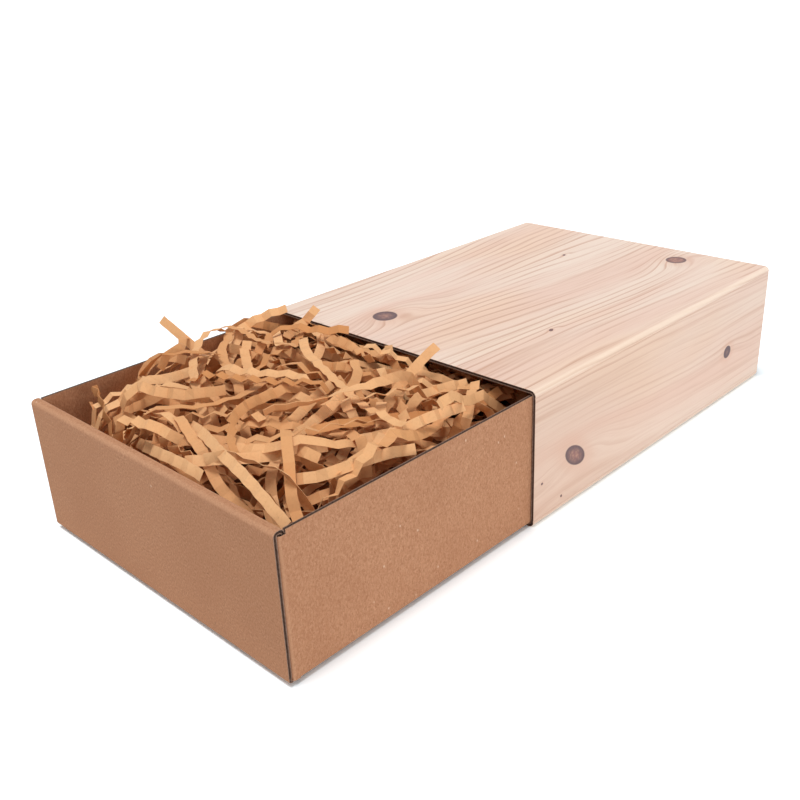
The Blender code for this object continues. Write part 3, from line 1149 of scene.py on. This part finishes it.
OVERHANGING = Curl(((-98, -174, 78), (-83, -175.5, 75), (-71, -175.5, 71), (-61, -174.5, 66)), -0.82, 0.2)
CURLS = (
    Curl(((-68.6, -158, 74), (-67, -165, 78), (-62.8, -174.4, 77.5), (-54.7, -185, 75), (-44, -194, 73),
          (-29.6, -203, 71), (-15.6, -211, 69), (-2.6, -217, 66), (3, -219, 62)), -0.15, 0.35, -0.6),
    Curl(((-1.5, -226, 69), (12, -229, 71), (33, -236, 72), (50, -239.5, 71), (62.5, -242, 69),
          (74, -244, 66), (80, -243.5, 62)), -0.85, 0.3),
    Curl(((-34, -197, 70), (-14.5, -204.6, 70), (0.2, -210, 69)), -0.72, 0.12),
    Curl(((-62.6, -217, 56), (-63.4, -211, 63), (-70.9, -203, 69), (-70.5, -195, 72), (-65, -191, 72),
          (-61.6, -186, 69)), -0.7, 0.45, -0.5),
    Curl(((-69.6, -232.8, 62), (-67, -233.6, 58), (-65.3, -234, 53), (-64.5, -234.1, 46)), 1.15, 0.25),
    Curl(((-43.5, -233, 55), (-18.7, -240, 60), (3, -244.5, 65), (19, -245, 66.5),
          (33.6, -245.5, 66)), -1.0, 0.3),
    Curl(((-58, -231.7, 52), (-52.7, -228, 60), (-42.5, -230, 60), (-38, -226, 57)), -1.0, 0.5),
    Curl(((31.7, -226, 69), (40, -223, 70.5), (47, -217, 71), (54, -212, 70.5), (58, -204, 70)), -1.0, 0.25),
    Curl(((18, -243, 66), (27, -239, 67.5), (35.5, -233, 69), (43.7, -226, 69), (46, -217, 68)), -0.9, 0.3),
    Curl(((-70, -150, 69), (-71, -144, 72), (-66.8, -134, 75), (-63, -129.6, 77),
          (-60, -124, 77.5)), -0.8, 0.6),
    Curl(((-52.7, -129, 68), (-52.5, -123, 70), (-50, -120, 72), (-49, -115.5, 75),
          (-50, -112.2, 77.3)), -0.8, 0.7),
    Curl(((-44.7, -122, 69), (-33.4, -125.5, 71), (-26, -130, 69), (-23, -136, 66),
          (-19, -145, 64)), -0.3, 0.4, 0.9),
    Curl(((42, -158, 63), (40.8, -153, 66), (35.7, -137.5, 69), (34.5, -125, 74),
          (34.5, -114.5, 77.5)), -0.72, 0.3),
    Curl(((5.9, -121, 64), (5.4, -119, 70), (2.5, -116, 73), (8, -118, 71), (11, -121, 66)), -0.3, 0.5, 0.8),
    Curl(((26.7, -202, 66), (27.7, -194, 69), (21.7, -179, 70.5), (16.6, -166, 70.5),
          (14.6, -156.5, 69)), -0.75, 0.9),
    Curl(((36, -204, 66), (37, -194, 69), (32, -177, 70.5), (25, -162, 70)), -0.7, 0.95),
    Curl(((40, -137, 60), (47, -136, 64), (51, -131, 67), (52, -121, 65), (51, -114, 63)), -1.0, 0.7),
    Curl(((70.6, -138.6, 56), (69, -133, 61), (62, -124, 64), (56, -113, 64)), -0.4, 0.6, 0.7),
    Curl(((57, -191, 66), (64.5, -186, 69), (71, -180, 70), (70.9, -171, 70), (71, -161.5, 70),
          (71.6, -152.5, 69), (71, -140, 67)), -1.0, 0.8),
    Curl(((59, -223, 64), (68.6, -218, 66), (71, -208, 67), (74, -197, 67), (76.5, -187, 67),
          (79, -178, 65)), -1.0, 0.7),
    Curl(((45.5, -162, 70), (52.7, -170, 69), (58, -175, 67)), 0.0, 0.35),
    Curl(((32.7, -171, 71), (41, -177.7, 70), (46.7, -178, 68)), -0.5, 0.6, 0.6),
)


@dataclass
class ShredFill:
    """Crinkle-cut paper strips, heaped in the tray over a pressed bed that is coloured dark as painted shade.
    """

    width: float = 0.0044
    paper: float = 0.0002
    curl_run: float = 0.0046
    loose_depth: float = 0.022
    draped: int = 330
    lively: int = 80
    candidates: int = 10
    seed: int = 5
    cell: float = 0.002
    margin: float = 0.0032
    roof: float = 0.0635
    sky: float = 0.0775
    crown: float = 0.0585
    swells: tuple[tuple[float, float, float, float, float], ...] = (
        (0.008, -0.015, -0.165, 0.050, 0.040),
        (0.006, -0.058, -0.140, 0.028, 0.030),
        (-0.022, -0.092, -0.250, 0.042, 0.044),
        (-0.011, 0.078, -0.108, 0.042, 0.032),
        (-0.009, 0.055, -0.252, 0.050, 0.016),
    )
    mouth_drop: float = 0.010
    mouth_place: float = -0.105
    mouth_ramp: float = 0.006
    roof_start: float = -0.1135
    run: Point2 = (0.0036, 0.0052)
    lively_length: Point2 = (0.035, 0.080)
    draped_length: Point2 = (0.050, 0.115)
    crimps: Triple = (0.0004, 0.0009, 0.0013)
    sag: Point2 = (0.00003, 0.00016)
    arch: Point2 = (0.003, 0.012)
    lift: Point2 = (0.006, 0.02)
    curl_spread: float = 0.8
    curl_length: float = 0.08
    sway_spread: float = 0.25
    kink_spread: float = 0.12
    edgeways: Point2 = (0.8, 1.4)
    edgeways_share: float = 0.35
    lean_spread: float = 0.35
    lively_turn: float = 0.9
    draped_turn: float = 0.5
    tints: Point2 = (0.55, 0.30)
    bed_step: float = 0.004
    pressed_keep: float = 0.8
    pressed_anchor: Triple = (0.0, 0.0, 0.0033)
    drawn_in_keep: float = 0.3
    drawn_in_axis: Triple = (-1.0, 0.0, 1.0)
    drawn_in_anchor: Triple = (-0.0469, -0.1745, 0.0519)
    low: np.ndarray = field(init=False)
    high: np.ndarray = field(init=False)
    heap: np.ndarray = field(init=False)

    def __post_init__(self) -> None:
        """Lay the bed out on a grid of cells."""
        centre = SIZES.tray_centre
        across = SIZES.tray_half_width - SIZES.board - SIZES.gap
        along = SIZES.inner_wall - SIZES.gap
        self.low = np.array((centre.x - across, centre.y - along))
        self.high = np.array((centre.x + across, centre.y + along))
        cells = np.ceil((self.high - self.low) / self.cell).astype(int)
        grid = np.stack(np.meshgrid(*(np.arange(count) for count in cells), indexing="ij"), -1)
        self.heap = self.mound(self.low + (grid + 0.5) * self.cell) - self.loose_depth

    def mound(self, places: np.ndarray) -> np.ndarray:
        """The height of the heap's surface: highest in the middle and by the left wall, low at the ends."""
        across, along = places[..., 0], places[..., 1]

        def bump(x: float, y: float, wide: float, long: float) -> np.ndarray:
            """A rounded rise of height 1."""
            return np.exp(-(((across - x) / wide) ** 2) - ((along - y) / long) ** 2)

        height = self.crown
        for rise, x, y, wide, long in self.swells:
            height = height + rise * bump(x, y, wide, long)
        return height - self.mouth_drop / (1 + np.exp(-(along - self.mouth_place) / self.mouth_ramp))

    def cells_at(self, places: np.ndarray) -> tuple[np.ndarray, np.ndarray]:
        """The grid cells of places across and along."""
        found = ((places - self.low) / self.cell).astype(int)
        limits = np.array(self.heap.shape) - 1
        found = np.clip(found, 0, limits)
        return found[..., 0], found[..., 1]

    def wander(self, chance: np.random.Generator, length: float, folds: int) -> np.ndarray:
        """Plan lines of strips that may lie anywhere in the tray.

        Args:
            chance: The source of random numbers.
            length: The strip's length.
            folds: How many folds it has.

        Returns:
            One line for each candidate: candidates, folds + 1, 2.
        """
        count = self.candidates
        share = np.linspace(0, 1, folds + 1)
        heading = chance.uniform(0, 2 * math.pi, (count, 1))
        curl = chance.normal(0, self.curl_spread, (count, 1)) * share
        sway = chance.normal(0, self.sway_spread, (count, 1))
        sway = sway * np.sin(2 * math.pi * (share + chance.random((count, 1))))
        kinks = chance.normal(0, self.kink_spread, (count, folds + 1))
        heading = heading + curl * length / self.curl_length + sway + kinks
        steps = np.stack((np.cos(heading), np.sin(heading)), -1)[:, :-1] * length / folds
        lines = np.concatenate((np.zeros((count, 1, 2)), np.cumsum(steps, 1)), 1)
        least, most = lines.min(1), lines.max(1)
        room = self.high - self.low - 2 * self.margin - (most - least)
        start = self.low + self.margin - least + chance.random((count, 2)) * room
        lines = lines + start[:, None]
        fits = np.all(room > 0, axis=1)
        return lines[fits]

    def choose(self, lines: np.ndarray) -> np.ndarray:
        """The candidate that lies where the heap is lowest against the mound."""
        missing = self.heap[self.cells_at(lines)] - self.mound(lines)
        return lines[np.argmin(missing.mean(1))]

    def footprint(self, line: np.ndarray, roll: np.ndarray) -> tuple[np.ndarray, np.ndarray]:
        """The cells under a strip: for each half step along it, five places across it."""
        stops = np.arange(0, len(line) - 0.5, 0.5)
        fine = np.stack([np.interp(stops, np.arange(len(line)), line[:, axis]) for axis in (0, 1)], -1)
        lean = np.interp(stops, np.arange(len(line)), np.abs(np.cos(roll)))
        way = np.gradient(fine, axis=0)
        way /= np.maximum(np.linalg.norm(way, axis=1, keepdims=True), 1e-9)
        aside = np.stack((-way[:, 1], way[:, 0]), -1) * (lean * self.width / 2)[:, None]
        return self.cells_at(fine[:, None] + aside[:, None] * np.linspace(-1, 1, 5)[None, :, None])

    def drape(self, line: np.ndarray, roll: np.ndarray, crimp: float, sag: float) -> np.ndarray:
        """Lay a line on the heap: it rests on what is highest and bridges the hollows.

        Args:
            line: The strip's line from above.
            roll: Its turn at each fold.
            crimp: How far its folds stand out.
            sag: How far it sinks at each fold where nothing holds it.

        Returns:
            The height of its middle at each fold.
        """
        under = self.heap[self.footprint(line, roll)].max(1)
        floor = np.maximum.reduceat(under, np.arange(0, len(under), 2))
        half = self.half_height(roll, crimp)
        rest = floor + half
        height = rest.copy()
        for _ in range(60):
            inner = (height[:-2] + height[2:]) / 2 - sag
            height[1:-1] = np.maximum(rest[1:-1], inner)
            height[0] = max(rest[0], 2 * height[1] - height[2] - 2 * sag)
            height[-1] = max(rest[-1], 2 * height[-2] - height[-3] - 2 * sag)
        return height

    def half_height(self, roll: np.ndarray, crimp: float) -> np.ndarray:
        """How far a strip reaches above and below its middle."""
        return np.abs(np.sin(roll)) * self.width / 2 + np.abs(np.cos(roll)) * crimp + self.paper

    def settle_on(self, line: np.ndarray, roll: np.ndarray, crimp: float, height: np.ndarray) -> None:
        """Raise the heap where a strip now lies."""
        stops = np.arange(0, len(line) - 0.5, 0.5)
        top = np.interp(stops, np.arange(len(line)), height + self.half_height(roll, crimp) * 0.55)
        cells = self.footprint(line, roll)
        np.maximum.at(self.heap, cells, np.broadcast_to(top[:, None], cells[0].shape))

    def lay(self, chance: np.random.Generator, lively: bool) -> Strip | None:
        """Add one strip to the heap.

        Args:
            chance: The source of random numbers.
            lively: Whether it arches, lifts an end and twists, as those on top do.

        Returns:
            The strip, or None where it doesn't fit.
        """
        run = chance.uniform(*self.run)
        length = chance.uniform(*(self.lively_length if lively else self.draped_length))
        folds = max(round(length / run), 6)
        crimp = chance.choice(self.crimps) * chance.uniform(0.6, 1.3, folds + 1)
        share = np.linspace(0, 1, folds + 1)
        edgeways = 0.0
        if chance.random() < self.edgeways_share:
            edgeways = chance.choice((-1, 1)) * chance.uniform(*self.edgeways)
        turn = np.sin(math.pi * (share * chance.uniform(0.6, 1.6) + chance.random()))
        turn_spread = self.lively_turn if lively else self.draped_turn
        roll = edgeways + chance.normal(0, self.lean_spread) + chance.normal(0, turn_spread) * turn
        lines = self.wander(chance, length, folds)
        tint = float(np.clip(chance.normal(*self.tints), 0, 1))
        sag = chance.uniform(*self.sag)
        arch = chance.uniform(*self.arch) if lively and chance.random() < 0.5 else 0.0
        lift = chance.uniform(*self.lift) if lively and chance.random() < 0.5 else 0.0
        tip = chance.uniform(0.45, 0.75)
        if not len(lines):
            return None
        line = self.choose(lines)
        height = self.drape(line, roll, crimp, sag)
        ceiling = np.where(line[:, 1] > self.roof_start, self.roof, self.sky) - self.half_height(roll, crimp)
        if np.any(height > ceiling):
            return None
        self.settle_on(line, roll, crimp, height)
        rise = arch * np.sin(math.pi * share) + lift * np.clip((share - tip) / (1 - tip), 0, 1) ** 1.4
        height = np.minimum(height + rise, ceiling)
        return Strip(np.column_stack((line, height)), roll, crimp, tint)

    def placed(self, chance: np.random.Generator, planned: Iterable[Curl]) -> list[Strip]:
        """The strips that stand out of the heap and give it its outline.

        Args:
            chance: The source of random numbers.
            planned: The strips with places of their own.

        Returns:
            The strips.
        """
        strips = []
        for curl in planned:
            knots = np.array(curl.controls) / 1000
            reach = np.concatenate(((0.0,), np.cumsum(np.linalg.norm(np.diff(knots, axis=0), axis=1))))
            folds = max(round(reach[-1] / self.curl_run), 3)
            stops = np.linspace(0, reach[-1], folds + 1)
            points = np.stack([np.interp(stops, reach, knots[:, axis]) for axis in range(3)], -1)
            for _ in range(2):
                points[1:-1] = (points[:-2] + 2 * points[1:-1] + points[2:]) / 4
            roll = curl.roll + curl.twist * stops / reach[-1]
            crimp = curl.crimp / 1000 * chance.uniform(1.0, 2.0, folds + 1)
            strips.append(Strip(points, roll, crimp, chance.uniform(0.6, 1.0)))
        return strips

    def ribbon(self, builder: bmesh.types.BMesh, strip: Strip) -> None:
        """Add one strip's folded sheet to a mesh."""
        points = strip.points
        ways = np.gradient(points, axis=0)
        ways /= np.maximum(np.linalg.norm(ways, axis=1, keepdims=True), 1e-9)
        level = np.cross(ways, (0.0, 0.0, 1.0))
        level /= np.maximum(np.linalg.norm(level, axis=1, keepdims=True), 1e-9)
        square = np.cross(level, ways)
        cos, sin = np.cos(strip.roll)[:, None], np.sin(strip.roll)[:, None]
        aside = (level * cos + square * sin) * self.width / 2
        turns = np.where(np.arange(len(points)) % 2, 1, -1)
        out = (square * cos - level * sin) * (strip.crimp * turns)[:, None]
        folds = len(points) - 1
        made = bmesh.ops.create_grid(builder, x_segments=folds, y_segments=1, size=1)
        tint = builder.verts.layers.float[TINT]
        for vert in made["verts"]:
            fold = round((vert.co.x + 1) / 2 * folds)
            vert[tint] = strip.tint
            vert.co = points[fold] + aside[fold] * vert.co.y + out[fold]

    def piece(self, name: str, strips: Sequence[Strip], material: bpy.types.Material) -> bpy.types.Object:
        """Make one piece of several strips."""
        builder = bmesh.new()
        builder.verts.layers.float.new(TINT)
        for strip in strips:
            self.ribbon(builder, strip)
        obj = settle(name, builder, (material,), Body.TRAY)
        obj.data.shade_flat()
        thicken(obj, self.paper, 0.0, 0)
        return obj

    def bed(self, material: bpy.types.Material) -> bpy.types.Object:
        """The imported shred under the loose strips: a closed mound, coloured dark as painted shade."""
        builder = bmesh.new()
        tint = builder.verts.layers.float.new(TINT)
        size = self.high - self.low
        columns, lines = (int(round(reach / self.bed_step)) for reach in size)
        bmesh.ops.create_grid(builder, x_segments=columns, y_segments=lines, size=0.5)
        for vert in builder.verts:
            place = self.low + (np.array(vert.co.xy) + 0.5) * size
            vert.co = (*place, float(self.mound(place)) - self.loose_depth - 0.001)
            # tint 0 gives the bed the darkest colour of its painted shade
            vert[tint] = 0.0
        rim = [edge for edge in builder.edges if edge.is_boundary]
        drawn = bmesh.ops.extrude_edge_only(builder, edges=rim)
        for part in drawn["geom"]:
            if isinstance(part, bmesh.types.BMVert):
                part.co.z = SIZES.tray_bottom + SIZES.board + SIZES.gap
        bmesh.ops.holes_fill(builder, edges=[edge for edge in builder.edges if edge.is_boundary], sides=0)
        bmesh.ops.recalc_face_normals(builder, faces=builder.faces)
        return settle("packed_shred", builder, (material,), Body.TRAY)

    def build(self, finishes: Finishes, nodes: Iterable[str]) -> list[bpy.types.Object]:
        """Build the fill.

        Args:
            finishes: The box's materials.
            nodes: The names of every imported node.

        Returns:
            The bed and the layers of strips.
        """
        chance = np.random.default_rng(self.seed)
        own_chance = np.random.default_rng(self.seed + 1)
        bed = self.bed(finishes.packed)
        strips = [self.lay(chance, False) for _ in range(self.draped)]
        lively = [self.lay(chance, True) for _ in range(self.lively)]
        strips = [strip for strip in strips if strip]
        third = len(strips) // 3
        groups = {
            "deep_strips": strips[:third],
            "middle_strips": strips[third : 2 * third],
            "upper_strips": strips[2 * third :],
            "lively_strips": [strip for strip in lively if strip],
            "standing_strips": self.placed(own_chance, CURLS),
            "overhanging_strip": self.placed(own_chance, (OVERHANGING,)),
        }
        pieces = [bed, *(self.piece(name, group, finishes.shred) for name, group in groups.items())]
        strip_nodes = sorted(node for node in nodes if node.startswith("shred_strip_"))
        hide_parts("shred_bed")
        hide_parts(*strip_nodes)
        for piece in pieces[:-1]:
            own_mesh(piece)
        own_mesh(pieces[-1])
        return pieces


@dataclass
class Studio:
    """A pale floor, soft light and the camera at the photograph's angle."""

    azimuth: float = math.radians(44.921)
    elevation: float = math.radians(24.789)
    roll: float = math.radians(-2.615)
    place: Triple = (0.31381, -0.42002, 0.24210)
    lens: float = 43.99
    floor_size: float = 30.0
    floor_tone: Colour = (0.9, 0.9, 0.9)
    floor_seen: Colour = (1.26, 1.36, 1.41)
    ambient: float = 0.42
    backdrop: tuple[float, float, float, float] = (1.0, 1.0, 1.0, 1.0)
    suns: tuple[tuple[str, Point2, float, float], ...] = (
        ("sky_key", (9, 105), 1.75, 20),
        ("side_fill", (80, 8), 1.0, 25),
    )
    sensor: float = 36.0
    near: float = 0.01
    far: float = 100.0

    def build(self) -> None:
        """Build the stage, the lights and the camera."""
        self.camera()
        self.floor()
        self.world()
        for name, aim, strength, spread in self.suns:
            self.sun(name, aim, strength, spread)
        bpy.context.scene.view_settings.view_transform = "Standard"

    def camera(self) -> None:
        """Place the camera."""
        data = bpy.data.cameras.new("camera")
        data.lens = self.lens
        data.sensor_width = self.sensor
        data.clip_start = self.near
        data.clip_end = self.far
        camera = bpy.data.objects.new("camera", data)
        bpy.context.scene.collection.objects.link(camera)
        tilt = Matrix.Rotation(math.pi / 2 - self.elevation, 4, "X")
        place = Matrix.Translation(self.place) @ Matrix.Rotation(self.azimuth, 4, "Z")
        camera.matrix_world = place @ tilt @ Matrix.Rotation(self.roll, 4, "Z")
        bpy.context.scene.camera = camera

    def floor(self) -> None:
        """A wide floor that the camera sees as white, but for the box's shadow."""
        builder = bmesh.new()
        bmesh.ops.create_grid(builder, x_segments=2, y_segments=2, size=self.floor_size / 2)
        mesh = bpy.data.meshes.new("floor")
        builder.to_mesh(mesh)
        builder.free()
        floor = bpy.data.objects.new("floor", mesh)
        bpy.context.scene.collection.objects.link(floor)
        sketch = MaterialSketch("floor")
        sketch.nodes.remove(sketch.shader)
        tone = sketch.mix(sketch.seen(), self.floor_tone, self.floor_seen)
        plain = sketch.add("ShaderNodeBsdfDiffuse", {"Color": tone})
        sketch.links.new(plain.outputs[0], sketch.nodes["Material Output"].inputs["Surface"])
        mesh.materials.append(sketch.material)

    def world(self) -> None:
        """Even light from all round, with a white background."""
        world = bpy.data.worlds.new("studio")
        bpy.context.scene.world = world
        world.use_nodes = True
        sketch = NodeSketch(world.node_tree)
        background = sketch.nodes["Background"].inputs
        sketch.feed(background["Color"], self.backdrop)
        sketch.feed(background["Strength"], sketch.step(sketch.seen(), 0.0, 1.0, self.ambient, 1.0))

    def sun(self, name: str, aim: Point2, strength: float, spread: float) -> None:
        """A soft distant lamp.

        Args:
            name: The lamp's name.
            aim: How far it leans from overhead, and where to, in degrees: 0 right, 90 to the front.
            strength: Its strength.
            spread: Its angle in the sky, in degrees.
        """
        data = bpy.data.lights.new(name, "SUN")
        data.energy = strength
        data.angle = math.radians(spread)
        lamp = bpy.data.objects.new(name, data)
        bpy.context.scene.collection.objects.link(lamp)
        lean, bearing = (math.radians(value) for value in aim)
        reach = math.sin(lean)
        towards = Vector((reach * math.cos(bearing), -reach * math.sin(bearing), math.cos(lean)))
        lamp.rotation_mode = "QUATERNION"
        lamp.rotation_quaternion = towards.to_track_quat("Z", "Y")


def dress_plain_nodes(nodes: dict[str, bpy.types.Object], finishes: Finishes) -> list[bpy.types.Object]:
    """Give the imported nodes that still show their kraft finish."""
    dressed = []
    for name in ("tray_base", "tray_front_inner_wall", "tray_rear_inner_wall"):
        node = nodes[name]
        node.data.materials.clear()
        node.data.materials.append(finishes.kraft)
        dressed.append(node)
    return dressed


def main() -> None:
    """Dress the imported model."""
    logging.basicConfig(level=logging.INFO, format="%(name)s: %(message)s")
    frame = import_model()
    finishes = Finishes.build()
    pieces = Sleeve().build(finishes)
    pieces += Tray().build(finishes)
    pieces += dress_plain_nodes(frame["nodes"], finishes)
    pieces += ShredFill().build(finishes, frame["nodes"])
    Studio().build()
    for piece in pieces:
        LOG.info("%s: %d faces", piece.name, len(piece.data.polygons))


if __name__ == "__main__":
    main()
